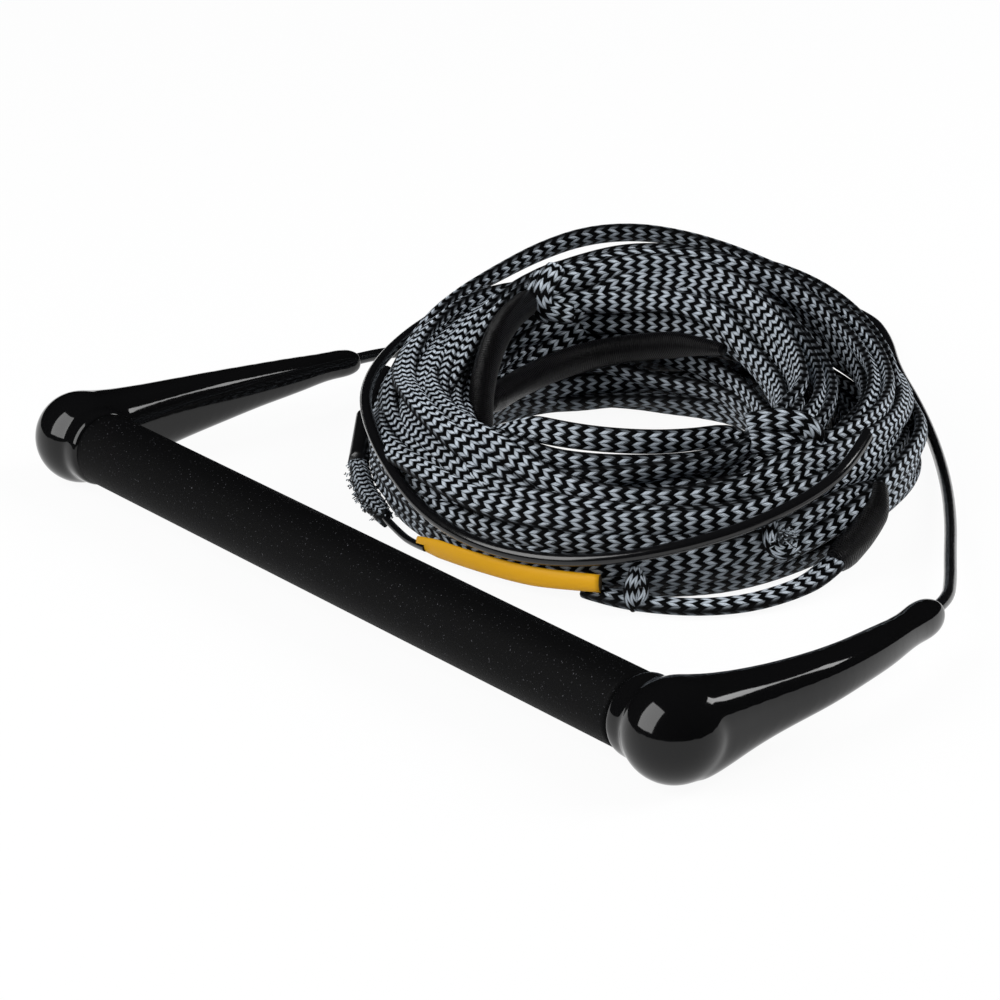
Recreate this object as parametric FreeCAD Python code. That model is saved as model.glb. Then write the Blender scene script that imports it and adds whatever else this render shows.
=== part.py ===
import FreeCAD, Part
import math
import os
from FreeCAD import Vector

os.makedirs("parts", exist_ok=True)

# A tow rope handle: a straight grip bar with two moulded end caps whose arms carry a
# bridle line, and the rope wound into a loose oval coil behind it. Millimetres, +Z up,
# +X along the bar, +Y from the bar towards the coil, origin on the floor under the
# middle of the handle.

# Bar and grip
ball_spacing = 381.0          # between the centres of the two end balls
tube_radius = 11.1
tube_wall = 1.6
tube_end_gap = 12.5           # from the tube's end to the ball's centre
grip_radius = 14.6
cover_thickness = 1.0
grip_end_gap = 19.9           # from the grip's end to the ball's centre
bond_clearance = 0.1          # between pieces that slide over each other and are bonded

# End caps
ball_radius = 19.0
collar_radius = 15.9
collar_rounding = 1.8
neck_radius = 15.2            # groove between the collar and the ball
neck_rounding = 0.7
arm_reach = 148.0             # from the bar's axis to the end of the arm
tip_rounding = 2.2
corner_share = 0.42           # corner radius of an arm's section, as a share of its smaller side
channel_clearance = 0.35      # round the line where it runs through a cap

# Bar plugs
plug_length = 24.0
plug_flange = 2.4
plug_mouth = 1.6              # rounding of the hole where the line turns

# Lines and rope
line_diameter = 5.0
rope_width = 10.4
turn_clearance = 0.3          # between a lying line or sleeve and what it lies against
line_corner = 27.0            # from the bar's axis to the line's first point in the arm
leg_start = 14.0              # from an arm's tip to the leg's first bend

# Coil: an oval ring of rope, turned on the floor
coil_x = -53.3
coil_y = 120.2
coil_turned = 52.87           # degrees from +X to the coil's short axis
coil_half_width = 111.0       # outside, across
coil_half_length = 141.0      # outside, along
coil_end_radius = 84.0        # outside radius of the oval's two ends
hole_half_width = 62.0
hole_half_length = 86.0
hole_end_radius = 44.0
hole_across = -13.0           # the hole's centre from the coil's centre
hole_along = -2.0
coil_height = 56.0
coil_top_rounding = 13.0
coil_foot_rounding = 7.0
rounding_share = 0.45         # of the coil's narrowest wall, at most

# Pieces on the rope
sleeve_diameter = 12.4
shrink_diameter = 8.6
shrink_rounding = 1.4
whipping_diameter = 9.0
tail_diameter = 3.0
tag_width = 9.0
tag_thickness = 3.4
yoke_diameter = 13.0
yoke_length = 38.0
yoke_rounding = 2.4
knot_diameter = 17.0
end_knot_diameter = 11.5

ball_x = ball_spacing / 2
bar_y = -(arm_reach - ball_radius) / 2
bar_z = ball_radius
tube_half = ball_x - tube_end_gap
grip_half = ball_x - grip_end_gap
plug_end = tube_half + plug_flange
line_radius = line_diameter / 2

# Arm sections, from the ball to the tip: reach as a share of the arm's, outward offset
# from the ball's centre, height of the bottom and the top edge, and width.
LEFT_ARM = [
    (0.027, 0.0, 0.8, 37.2, 33.0),
    (0.095, 0.0, 2.6, 35.4, 29.0),
    (0.19, 0.2, 5.4, 34.4, 24.4),
    (0.31, 0.8, 8.4, 33.6, 20.6),
    (0.46, 2.2, 11.0, 32.4, 17.6),
    (0.608, 4.6, 12.8, 30.6, 15.4),
    (0.757, 7.6, 13.8, 28.4, 13.8),
    (0.892, 11.0, 14.2, 26.0, 12.4),
    (0.989, 13.6, 14.4, 24.0, 11.2),
]
RIGHT_ARM = [
    (0.027, 0.0, 0.4, 37.6, 33.0),
    (0.095, 0.6, 1.8, 35.4, 29.0),
    (0.19, 1.0, 5.6, 33.6, 24.2),
    (0.31, 1.0, 9.2, 32.4, 20.4),
    (0.446, -0.2, 11.8, 31.6, 18.0),
    (0.58, -4.3, 13.4, 30.5, 16.2),
    (0.716, -11.1, 13.6, 28.8, 14.6),
    (0.851, -19.4, 13.4, 26.8, 13.2),
    (0.989, -29.2, 13.2, 24.6, 11.8),
]

# The line's places in each arm: reach as a share of the arm's, outward offset and height.
line_bend = line_corner / arm_reach
LEFT_LINE = [
    (line_bend, 2.0, bar_z), (0.446, 2.2, 20.6), (0.703, 6.2, 21.0), (0.892, 11.0, 20.0),
    (0.989, 13.6, 19.2),
]
RIGHT_LINE = [
    (line_bend, 2.0, bar_z), (0.446, 0.2, 20.6), (0.662, -8.4, 21.4), (0.838, -18.6, 20.2),
    (0.989, -29.2, 18.9),
]


def tube_volume(length, diameter):
    return math.pi * diameter * diameter / 4 * length


def rounded_path(points):
    """Straight runs joined by tangent arcs, each as large as its two runs allow."""
    corners = [Vector(*p) for p in points]
    edges = []
    radii = []
    start = corners[0]
    for before, here, after in zip(corners, corners[1:], corners[2:]):
        back = before - here
        ahead = after - here
        shorter = min(back.Length, ahead.Length)
        half_turn = (math.pi - back.getAngle(ahead)) / 2
        reach = 0.45 * shorter
        radius = reach / math.tan(half_turn)
        back.normalize()
        ahead.normalize()
        first = here + back * reach
        last = here + ahead * reach
        middle = back + ahead
        middle.normalize()
        gap = radius / math.cos(half_turn) - radius
        edges.append(Part.LineSegment(start, first).toShape())
        edges.append(Part.Arc(first, here + middle * gap, last).toShape())
        radii.append(radius)
        start = last
    edges.append(Part.LineSegment(start, corners[-1]).toShape())
    return Part.Wire(edges), radii


def swept_tube(points, diameter):
    """A round tube of one diameter along a rounded path."""
    path, radii = rounded_path(points)
    heading = Vector(*points[1]) - Vector(*points[0])
    ring = Part.Wire([Part.Circle(Vector(*points[0]), heading, diameter / 2).toShape().Edges[0]])
    tube = path.makePipeShell([ring], True, True)
    return tube, path.Length, radii


def cord(name, points, diameter):
    """A lying line: a swept tube whose bends and volume are printed."""
    tube, length, radii = swept_tube(points, diameter)
    share = tube.Volume / tube_volume(length, diameter)
    tightest = min(radii) / diameter if radii else 0
    print(name, "length %.0f" % length, "volume share %.4f" % share)
    print("  radii", " ".join("%.0f" % r for r in radii), "tightest %.1f diameters" % tightest)
    return tube


def coil_place(across, along, height):
    """A place given in the coil's own frame: across and along the oval, from its centre."""
    turn = math.radians(coil_turned)
    x = coil_x + across * math.cos(turn) - along * math.sin(turn)
    y = coil_y + across * math.sin(turn) + along * math.cos(turn)
    return (x, y, height)


def arm_place(side, share, offset, height):
    """A place in an arm; side is -1 for the left arm and +1 for the right arm."""
    return (side * (ball_x + offset), bar_y + share * arm_reach, height)


def arm_section(centre, heading, width, bottom, top):
    """A section with flat sides and rounded corners, square to the arm's direction."""
    corner = corner_share * min(width, top - bottom)
    across = Vector(heading.y, -heading.x, 0)
    across.normalize()
    half = width / 2
    inner = half - corner
    slant = corner * (1 - math.sqrt(0.5))

    def at(a, z):
        return centre + across * a + Vector(0, 0, z)

    edges = [
        Part.LineSegment(at(-inner, top), at(inner, top)),
        Part.Arc(at(inner, top), at(half - slant, top - slant), at(half, top - corner)),
        Part.LineSegment(at(half, top - corner), at(half, bottom + corner)),
        Part.Arc(at(half, bottom + corner), at(half - slant, bottom + slant), at(inner, bottom)),
        Part.LineSegment(at(inner, bottom), at(-inner, bottom)),
        Part.Arc(at(-inner, bottom), at(-half + slant, bottom + slant), at(-half, bottom + corner)),
        Part.LineSegment(at(-half, bottom + corner), at(-half, top - corner)),
        Part.Arc(at(-half, top - corner), at(-half + slant, top - slant), at(-inner, top)),
    ]
    return Part.Wire([e.toShape() for e in edges])


def arm_solid(side, stations):
    """The tapering arm: a loft through its sections, closed by a rounded tip."""
    places = [Vector(*arm_place(side, share, offset, 0)) for share, offset, _, _, _ in stations]
    sections = []
    for i, (_, _, bottom, top, width) in enumerate(stations):
        before = places[max(i - 1, 0)]
        after = places[min(i + 1, len(places) - 1)]
        heading = after - before
        if i == 0:
            heading = Vector(0, 1, 0)
        heading.normalize()
        last = i == len(stations) - 1
        centre = places[i] - heading * tip_rounding if last else places[i]
        sections.append(arm_section(centre, heading, width, bottom, top))
        if last:
            for ahead, inset in ((0.7, 0.3), (1.0, 1.0)):
                shift = centre + heading * (tip_rounding * ahead)
                trim = tip_rounding * inset
                sections.append(arm_section(
                    shift, heading, width - 2 * trim, bottom + trim, top - trim))
    return Part.makeLoft(sections, True, False)


def line_route(side, places):
    """The line's route in one cap, from inside the bar round the corner to the arm's tip."""
    corner = places[0][1]
    route = [(side * (ball_x + corner), bar_y, bar_z)]
    for share, offset, height in places:
        route.append(arm_place(side, share, offset, height))
    return route


def tip_heading(side, places):
    """The direction in which the line leaves an arm."""
    route = line_route(side, places)
    heading = Vector(*route[-1]) - Vector(*route[-2])
    heading.normalize()
    return heading


def head_solid(side):
    """Collar, neck and ball: one profile turned about the bar's axis."""
    neck_x = ball_x - math.sqrt(ball_radius ** 2 - neck_radius ** 2)
    collar_end = neck_x - neck_rounding
    soft = collar_rounding * (1 - math.sqrt(0.5))
    ball_top = Vector(side * ball_x, bar_y, bar_z + ball_radius)

    def at(x, r):
        return Vector(side * x, bar_y, bar_z + r)

    outline = [
        Part.LineSegment(at(grip_half, 0), at(grip_half, collar_radius - collar_rounding)),
        Part.Arc(
            at(grip_half, collar_radius - collar_rounding),
            at(grip_half + soft, collar_radius - soft),
            at(grip_half + collar_rounding, collar_radius)),
        Part.LineSegment(at(grip_half + collar_rounding, collar_radius), at(collar_end, collar_radius)),
        Part.LineSegment(at(collar_end, collar_radius), at(neck_x, neck_radius)),
        Part.Arc(at(neck_x, neck_radius), ball_top, at(ball_x + ball_radius, 0)),
        Part.LineSegment(at(ball_x + ball_radius, 0), at(grip_half, 0)),
    ]
    face = Part.Face(Part.Wire([e.toShape() for e in outline]))
    return face.revolve(Vector(0, bar_y, bar_z), Vector(1, 0, 0), 360)


def end_cap(side, stations, places):
    """Collar, ball and arm moulded in one piece, with a tube socket and a line channel."""
    outward = Vector(side, 0, 0)
    body = head_solid(side).fuse(arm_solid(side, stations))
    socket_depth = plug_end + bond_clearance - grip_half
    socket = Part.makeCylinder(
        tube_radius + bond_clearance, socket_depth, Vector(side * grip_half, bar_y, bar_z), outward)
    bore = line_diameter + 2 * channel_clearance
    route = [(0, bar_y, bar_z)] + line_route(side, places)
    channel = swept_tube(route, bore)[0]
    heading = tip_heading(side, places)
    mouth_start = Vector(*route[-1]) - heading * tip_rounding
    mouth = Part.makeCylinder(bore / 2, 2 * tip_rounding, mouth_start, heading)
    return body.cut([socket, channel, mouth])


def bar_core():
    """Aluminium tube, open at both ends."""
    start = Vector(-tube_half, bar_y, bar_z)
    outer = Part.makeCylinder(tube_radius, 2 * tube_half, start, Vector(1, 0, 0))
    bore = Part.makeCylinder(tube_radius - tube_wall, 2 * tube_half, start, Vector(1, 0, 0))
    return outer.cut(bore)


def sleeve_on_bar(inner, outer, half_length, rounding):
    """A sleeve round the tube with softly rounded end rims."""
    start = Vector(-half_length, bar_y, bar_z)
    solid = Part.makeCylinder(outer, 2 * half_length, start, Vector(1, 0, 0))
    rims = [e for e in solid.Edges if e.Curve.TypeId == "Part::GeomCircle"]
    solid = solid.makeFillet(rounding, rims)
    hole = Part.makeCylinder(inner, 2 * half_length, start, Vector(1, 0, 0))
    return solid.cut(hole)


def bar_plug(side):
    """Nylon plug: a body in the tube, a flange over its end and a rounded line hole."""
    body_radius = tube_radius - tube_wall - bond_clearance
    hole = line_radius + channel_clearance
    depth = tube_half - plug_length
    lip = plug_end - plug_mouth
    turn = plug_mouth * (1 - math.sqrt(0.5))

    def at(x, r):
        return Vector(side * x, bar_y, bar_z + r)

    outline = [
        Part.LineSegment(at(depth, hole), at(depth, body_radius)),
        Part.LineSegment(at(depth, body_radius), at(tube_half, body_radius)),
        Part.LineSegment(at(tube_half, body_radius), at(tube_half, tube_radius)),
        Part.LineSegment(at(tube_half, tube_radius), at(plug_end, tube_radius)),
        Part.LineSegment(at(plug_end, tube_radius), at(plug_end, hole + plug_mouth)),
        Part.Arc(at(plug_end, hole + plug_mouth), at(plug_end - turn, hole + turn), at(lip, hole)),
        Part.LineSegment(at(lip, hole), at(depth, hole)),
    ]
    face = Part.Face(Part.Wire([e.toShape() for e in outline]))
    return face.revolve(Vector(0, bar_y, bar_z), Vector(1, 0, 0), 360)


def oval_prism(half_width, half_length, end_radius, height):
    """An upright prism on an oval of four tangent arcs, two for the ends, two for the sides."""
    end_centre = half_length - end_radius
    gap = half_width - end_radius
    side_radius = end_radius + (end_centre ** 2 + gap ** 2) / (2 * gap)
    side_centre = side_radius - half_width
    tilt = math.degrees(math.atan2(end_centre, side_centre))
    up = Vector(0, 0, 1)
    arcs = [
        (Vector(-side_centre, 0, 0), side_radius, -tilt, tilt),
        (Vector(0, end_centre, 0), end_radius, tilt, 180 - tilt),
        (Vector(side_centre, 0, 0), side_radius, 180 - tilt, 180 + tilt),
        (Vector(0, -end_centre, 0), end_radius, 180 + tilt, 360 - tilt),
    ]
    edges = [Part.makeCircle(radius, centre, up, start, end) for centre, radius, start, end in arcs]
    return Part.Face(Part.Wire(edges)).extrude(Vector(0, 0, height))


def edges_at(solid, height):
    """The solid's edges that lie flat at one height."""
    box_of = [(e, e.BoundBox) for e in solid.Edges]
    return [e for e, box in box_of if abs(box.ZMin - height) < 0.01 and abs(box.ZMax - height) < 0.01]


def rope_coil():
    """The coil's outer shape: an oval ring with a crowned top and a rounded foot."""
    ring = oval_prism(coil_half_width, coil_half_length, coil_end_radius, coil_height)
    hole = oval_prism(hole_half_width, hole_half_length, hole_end_radius, coil_height)
    hole.translate(Vector(hole_across, hole_along, 0))
    ring = ring.cut(hole)
    largest = rounding_share * (coil_half_width - hole_half_width - abs(hole_across))
    ring = ring.makeFillet(min(coil_top_rounding, largest), edges_at(ring, coil_height))
    ring = ring.makeFillet(min(coil_foot_rounding, largest), edges_at(ring, 0))
    ring.rotate(Vector(0, 0, 0), Vector(0, 0, 1), coil_turned)
    ring.translate(Vector(coil_x, coil_y, 0))
    return ring


def outer_wall(points):
    """Places beside the coil's outer wall: bearing, gap from the wall and height."""
    places = []
    for bearing, gap, height in points:
        turn = math.radians(bearing)
        across = (coil_half_width + gap) * math.cos(turn)
        along = (coil_half_length + gap) * math.sin(turn)
        places.append(coil_place(across, along, height))
    return places


def inner_wall(points):
    """Places beside the wall of the coil's hole: bearing, gap from the wall and height."""
    places = []
    for bearing, gap, height in points:
        turn = math.radians(bearing)
        across = hole_across + (hole_half_width - gap) * math.cos(turn)
        along = hole_along + (hole_half_length - gap) * math.sin(turn)
        places.append(coil_place(across, along, height))
    return places


def knot(place, diameter):
    """A knot or a hitch: a rounded lump of rope."""
    return Part.makeSphere(diameter / 2, Vector(*place))


def straight_piece(start, end, diameter, rounding):
    """A straight sleeve with rounded rims."""
    a = Vector(*start)
    heading = Vector(*end) - a
    solid = Part.makeCylinder(diameter / 2, heading.Length, a, heading)
    rims = [e for e in solid.Edges if e.Curve.TypeId == "Part::GeomCircle"]
    return solid.makeFillet(rounding, rims)


def flat_sleeve(points, height, thickness):
    """A flat sleeve on edge: an upright rectangle swept along a level route."""
    path = rounded_path(points)[0]
    start = Vector(*points[0])
    heading = Vector(*points[1]) - start
    across = Vector(heading.y, -heading.x, 0)
    across.normalize()
    out = across * (thickness / 2)
    up = Vector(0, 0, height / 2)
    corners = [start - out - up, start + out - up, start + out + up, start - out + up]
    outline = Part.makePolygon(corners + corners[:1])
    return path.makePipeShell([outline], True, False)


# Routes of the lying lines, in the handle's frame.
low = line_radius + 0.1       # height of a line that lies on the floor
RIGHT_LEG = [
    (137.0, 113.0, 15.6), (112.0, 136.0, 13.2), (79.0, 167.0, 9.6), (40.0, 201.0, 6.2),
    (-5.0, 236.0, 3.6), (-51.0, 267.5, low), (-92.0, 292.0, low), (-121.0, 313.4, 4.4),
    (-145.0, 324.2, 6.6),
]
LEFT_LEG = [
    (-210.0, 116.0, 14.8), (-217.0, 141.0, 7.0), (-222.0, 169.0, 3.4),
    (-221.0, 198.0, low), (-210.0, 226.0, low), (-191.0, 246.5, low), (-169.0, 254.0, low),
    (-147.0, 257.0, low), (-129.0, 275.0, low), (-128.5, 300.5, 4.2), (-146.5, 317.4, 6.6),
]
YOKE_START = (-170.0, 320.8, 6.6)
YOKE_SPREAD = 3.4             # from the yoke's axis to each leg's
HANDLE_LINE_START = [
    (-225.0, 320.8, 6.6), (-241.8, 309.9, 4.8), (-248.0, 290.4, 3.0), (-248.0, 266.0, 3.8),
    (-238.0, 236.0, 9.4), (-213.0, 202.0, 12.2), (-197.0, 183.0, 21.0),
]
# Bearing round the coil, gap from its wall, height.
HANDLE_LINE_WRAP = [
    (115, 7.0, 37.0), (131, 5.0, 41.0), (147, 4.0, 38.5), (163, 4.0, 36.5), (178, 4.0, 36.0),
    (192, 4.0, 35.0), (206, 4.0, 27.5), (220, 4.0, 18.5), (234, 4.0, 15.0), (248, 4.0, 15.5),
    (262, 4.0, 20.0), (276, 4.0, 27.0), (289, 4.0, 34.0), (301, 4.6, 41.5), (311, 3.4, 48.5),
    (319, 1.4, 54.0),
]
STUB_LINE = [(158, 4.2, 28.5), (164, 5.2, 24.0), (170, 7.0, 18.0)]
SHRINK_SLEEVE = [(170, 7.0, 18.0), (181, 8.0, 8.0)]
END_WHIPPING = [(181, 8.0, 8.0), (188, 7.4, 4.9), (196, 6.4, 4.8), (204, 5.6, 4.7)]
TAIL_LINE = [(204, 5.6, 4.7), (209, 4.6, 3.2), (214, 4.0, 2.4), (219, 4.0, 3.6)]
TAG_SLEEVE = [(219, 2.4, 5.4), (231, 2.4, 5.4), (243, 2.4, 5.4), (254, 2.4, 5.4)]
BACK_SLEEVE = [
    (161, 7.8, 25.0), (149, 8.6, 24.0), (137, 8.8, 24.0), (125, 8.7, 24.6), (113, 8.0, 26.0),
    (101, 7.3, 27.6), (89, 7.0, 29.6), (77, 7.2, 32.0), (65, 8.0, 35.0), (54, 8.4, 38.0),
]
LEFT_SLEEVE = [
    (196, 7.0, 12.0), (184, 7.0, 24.0), (172, 7.2, 36.0), (160, 7.7, 45.0), (148, 6.9, 50.5),
    (136, 5.5, 54.0), (125, 4.3, 56.0),
]
RIGHT_SLEEVE = [(325, 5.0, 34.0), (321, 4.8, 27.0), (316, 4.6, 19.0), (311, 4.8, 12.4), (306, 5.2, 8.4)]
TOW_EYE = [
    (306, 5.2, 8.4), (301, 8.2, 5.4), (294, 11.5, 5.3), (286, 13.4, 5.3), (278, 12.6, 5.3),
    (270, 9.6, 5.3),
]
BACK_HITCH = (116.5, 3.2, 58.3)
FRONT_HITCH = (309, -26.0, 61.0)
FRONT_END_KNOT = (265.5, 6.2, 8.6)
MIDDLE_END_KNOT = (294, 5.2, 24.0)


def leg_exit(side, places):
    """A leg's first two points: the arm's tip and a point straight ahead of it."""
    tip = Vector(*line_route(side, places)[-1])
    ahead = tip + tip_heading(side, places) * leg_start
    return [tuple(tip), tuple(ahead)]


def yoke_places():
    """Where the two legs enter the yoke, and where its other end lies."""
    x, y, z = YOKE_START
    entries = [(x, y - YOKE_SPREAD, z), (x, y + YOKE_SPREAD, z)]
    return entries, (x - yoke_length, y, z)


def handle_pieces():
    """The rigid handle and the line that runs inside it."""
    inside = []
    for side, places in ((-1, LEFT_LINE), (1, RIGHT_LINE)):
        inside.append(line_route(side, places))
    core_route = inside[0][::-1] + inside[1]
    foam_outer = grip_radius - cover_thickness
    return {
        "bar_core": bar_core(),
        "grip_foam": sleeve_on_bar(tube_radius + bond_clearance, foam_outer, grip_half, 0.4),
        "grip_cover": sleeve_on_bar(foam_outer + bond_clearance, grip_radius, grip_half, 0.5),
        "left_bar_plug": bar_plug(-1),
        "right_bar_plug": bar_plug(1),
        "left_end_cap": end_cap(-1, LEFT_ARM, LEFT_LINE),
        "right_end_cap": end_cap(1, RIGHT_ARM, RIGHT_LINE),
        "bridle_core_line": cord("bridle_core_line", core_route, line_diameter),
    }


def bridle_pieces():
    """The free legs, the yoke and the line that goes from it round the coil."""
    (near, far), yoke_end = yoke_places()
    left_start = leg_exit(-1, LEFT_LINE)
    right_start = leg_exit(1, RIGHT_LINE)
    line_points = [yoke_end] + HANDLE_LINE_START + outer_wall(HANDLE_LINE_WRAP)
    return {
        "bridle_leg_left": cord("bridle_leg_left", left_start + LEFT_LEG + [near], line_diameter),
        "bridle_leg_right": cord("bridle_leg_right", right_start + RIGHT_LEG + [far], line_diameter),
        "bridle_yoke": straight_piece(YOKE_START, yoke_end, yoke_diameter, yoke_rounding),
        "handle_line": cord("handle_line", line_points, line_diameter),
    }


def rope_pieces():
    """The coil and what lies on it."""
    shrink_start, shrink_end = outer_wall(SHRINK_SLEEVE)
    stub_points = outer_wall(STUB_LINE)
    front_hitch_place = outer_wall([FRONT_HITCH])[0]
    return {
        "rope_coil": rope_coil().cut(knot(front_hitch_place, knot_diameter + 2 * turn_clearance)),
        "stub_line": cord("stub_line", stub_points, line_diameter),
        "shrink_sleeve": straight_piece(shrink_start, shrink_end, shrink_diameter, shrink_rounding),
        "end_whipping": cord("end_whipping", outer_wall(END_WHIPPING), whipping_diameter),
        "tail_line": cord("tail_line", outer_wall(TAIL_LINE), tail_diameter),
        "tag_sleeve": flat_sleeve(outer_wall(TAG_SLEEVE), tag_width, tag_thickness),
        "loop_sleeve_back": cord("loop_sleeve_back", inner_wall(BACK_SLEEVE), sleeve_diameter),
        "loop_sleeve_left": cord("loop_sleeve_left", inner_wall(LEFT_SLEEVE), sleeve_diameter),
        "loop_sleeve_right": cord("loop_sleeve_right", outer_wall(RIGHT_SLEEVE), sleeve_diameter),
        "tow_eye": cord("tow_eye", outer_wall(TOW_EYE), rope_width),
        "back_hitch": knot(inner_wall([BACK_HITCH])[0], knot_diameter),
        "front_hitch": knot(front_hitch_place, knot_diameter),
        "front_end_knot": knot(outer_wall([FRONT_END_KNOT])[0], end_knot_diameter),
        "middle_end_knot": knot(outer_wall([MIDDLE_END_KNOT])[0], end_knot_diameter),
    }


def main():
    pieces = {}
    pieces.update(handle_pieces())
    pieces.update(bridle_pieces())
    pieces.update(rope_pieces())
    for name, shape in pieces.items():
        shape.exportStep("parts/%s.step" % name)
        print(name, shape.ShapeType, len(shape.Solids), "valid", shape.isValid(), "%.0f" % shape.Volume)


main()
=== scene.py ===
# %% [markdown]
# # A tow rope handle, dressed for the camera
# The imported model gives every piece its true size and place. Here each one gets its looks.
# Everything is in metres and in the model's own frame: +X runs along the bar, +Y goes from the
# bar towards the coil of rope, +Z is up, and the floor is z = 0.

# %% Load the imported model
import math

import bpy
import numpy as np
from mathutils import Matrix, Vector


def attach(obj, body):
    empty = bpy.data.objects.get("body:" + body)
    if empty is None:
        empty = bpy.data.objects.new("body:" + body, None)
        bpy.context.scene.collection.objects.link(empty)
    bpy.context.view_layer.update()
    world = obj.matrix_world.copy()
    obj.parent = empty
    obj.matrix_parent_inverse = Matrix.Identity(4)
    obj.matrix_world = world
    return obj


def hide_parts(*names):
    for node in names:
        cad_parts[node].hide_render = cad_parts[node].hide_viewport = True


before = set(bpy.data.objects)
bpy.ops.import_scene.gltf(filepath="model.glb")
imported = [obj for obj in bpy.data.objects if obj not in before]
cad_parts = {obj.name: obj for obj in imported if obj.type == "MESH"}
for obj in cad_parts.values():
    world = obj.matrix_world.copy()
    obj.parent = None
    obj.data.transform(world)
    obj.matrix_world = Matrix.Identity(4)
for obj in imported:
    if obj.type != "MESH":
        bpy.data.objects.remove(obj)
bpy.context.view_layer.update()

scene = bpy.context.scene
mm = 0.001

# %% [markdown]
# ## Camera
# A long lens far away keeps the bar from looking stretched. The camera stands in front of the
# bar's right end, a little above it, so its place is worked out from two angles and a distance.
# Turning the angles into a direction by hand keeps the numbers readable, and moving the camera
# later takes one change.

# %% Camera
look_turned = math.radians(52.87)
look_down = math.radians(20.17)
look_at = Vector((-0.0271, 0.0256, 0.0193))
look_distance = 1.70
look = Vector((-math.sin(look_turned) * math.cos(look_down),
               math.cos(look_turned) * math.cos(look_down), -math.sin(look_down)))

camera_data = bpy.data.cameras.new("camera")
camera_data.lens = 156.5
camera_data.sensor_width = 36
camera = bpy.data.objects.new("camera", camera_data)
camera.location = look_at - look * look_distance
camera.rotation_euler = look.to_track_quat("-Z", "Y").to_euler()
scene.collection.objects.link(camera)
scene.camera = camera
print("camera at", [round(v, 3) for v in camera.location])

# %% [markdown]
# ## Places round the coil
# The rope lies in an oval ring that is turned on the floor. Its pieces are easiest to place in
# the ring's own terms: a bearing round the oval, a gap from its wall and a height. Bearing 0 is
# the ring's right side as the camera sees it, 90 its back, 180 its left side and 270 its front.
# A turned empty with the pieces parented to it would do the same, but sums keep every place in
# a short list that can be read and changed.

# %% The coil's own frame
coil_centre = np.array([-53.3, 120.2]) * mm
coil_turned = math.radians(52.87)
coil_half_width, coil_half_length = 111.0, 141.0
hole_half_width, hole_half_length = 62.0, 86.0
hole_across, hole_along = -13.0, -2.0


def coil_place(across, along, height):
    """A place in the model's frame from millimetres in the coil's frame."""
    x = across * math.cos(coil_turned) - along * math.sin(coil_turned)
    y = across * math.sin(coil_turned) + along * math.cos(coil_turned)
    return np.stack([coil_centre[0] + x * mm, coil_centre[1] + y * mm, height * mm + 0 * x], -1)


def outer_wall(points):
    """Places beside the ring's outer wall, from (bearing, gap, height) in degrees and millimetres."""
    bearing, gap, height = np.array(points, float).T
    turn = np.radians(bearing)
    return coil_place((coil_half_width + gap) * np.cos(turn), (coil_half_length + gap) * np.sin(turn), height)


def inner_wall(points):
    """Places beside the wall of the ring's hole, from (bearing, gap, height)."""
    bearing, gap, height = np.array(points, float).T
    turn = np.radians(bearing)
    return coil_place(hole_across + (hole_half_width - gap) * np.cos(turn),
                      hole_along + (hole_half_length - gap) * np.sin(turn), height)


print("coil's front", outer_wall([(270, 0, 0)])[0].round(3), "back", outer_wall([(90, 0, 0)])[0].round(3))

# %% [markdown]
# ## Smooth lines for everything that bends
# Lines, sleeves and rope are all flexible, so each starts as a NURBS curve: a few control points
# pull it into one smooth sweep with no corners. A bevel turns the curve into a round line. Where
# a piece needs its own skin, such as a braid, the curve is read back as a row of close points
# and a mesh tube is built round them.

# %% Curves and rows of points
def smooth_curve(name, points):
    """A NURBS curve through space with these places as its control points."""
    data = bpy.data.curves.new(name, "CURVE")
    data.dimensions = "3D"
    data.resolution_u = 6
    spline = data.splines.new("NURBS")
    spline.points.add(len(points) - 1)
    for control, place in zip(spline.points, points):
        control.co = (float(place[0]), float(place[1]), float(place[2]), 1)
    spline.order_u = 3
    spline.use_endpoint_u = True
    curve = bpy.data.objects.new(name, data)
    scene.collection.objects.link(curve)
    return curve


def read_back(curve):
    """The row of points that the curve really passes through."""
    bpy.context.view_layer.update()
    mesh = bpy.data.meshes.new_from_object(curve)
    points = np.array([v.co for v in mesh.vertices], float)
    bpy.data.meshes.remove(mesh)
    return points


def distances(points):
    """How far along the row each point is."""
    steps = np.linalg.norm(np.diff(points, axis=0), axis=1)
    return np.concatenate([[0], np.cumsum(steps)])


def spaced(points, step):
    """The same row with points about one step apart."""
    along = distances(points)
    at = np.linspace(0, along[-1], max(3, int(round(along[-1] / step)) + 1))
    return np.stack([np.interp(at, along, points[:, i]) for i in range(3)], 1)


def unit(vectors):
    return vectors / np.maximum(np.linalg.norm(vectors, axis=-1, keepdims=True), 1e-12)


def route_points(name, points, step):
    """Close points along a NURBS route; the helper curve is thrown away."""
    curve = smooth_curve(name, points)
    row = read_back(curve)
    bpy.data.objects.remove(curve)
    return spaced(row, step)


print("helpers ready")

# %% [markdown]
# ## Helpers for finishes
# Every finish starts from Blender's main shader, the Principled BSDF, and adds a few nodes that
# come back again and again: sums, cloudy noise, a value drawn out between two limits, a colour
# between two colours, and relief. Relief is a bump: the surface stays where it is, but the
# shader is told that it leans, which is far lighter than real geometry for such fine detail.

# %% Materials and sums
def new_material(name, colour, roughness):
    """A material with its main shader, ready for more nodes."""
    material = bpy.data.materials.new(name)
    material.use_nodes = True
    nodes = material.node_tree.nodes
    shader = nodes["Principled BSDF"]
    shader.inputs["Base Color"].default_value = (*colour, 1)
    shader.inputs["Roughness"].default_value = roughness
    return material, nodes, material.node_tree.links, shader


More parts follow.
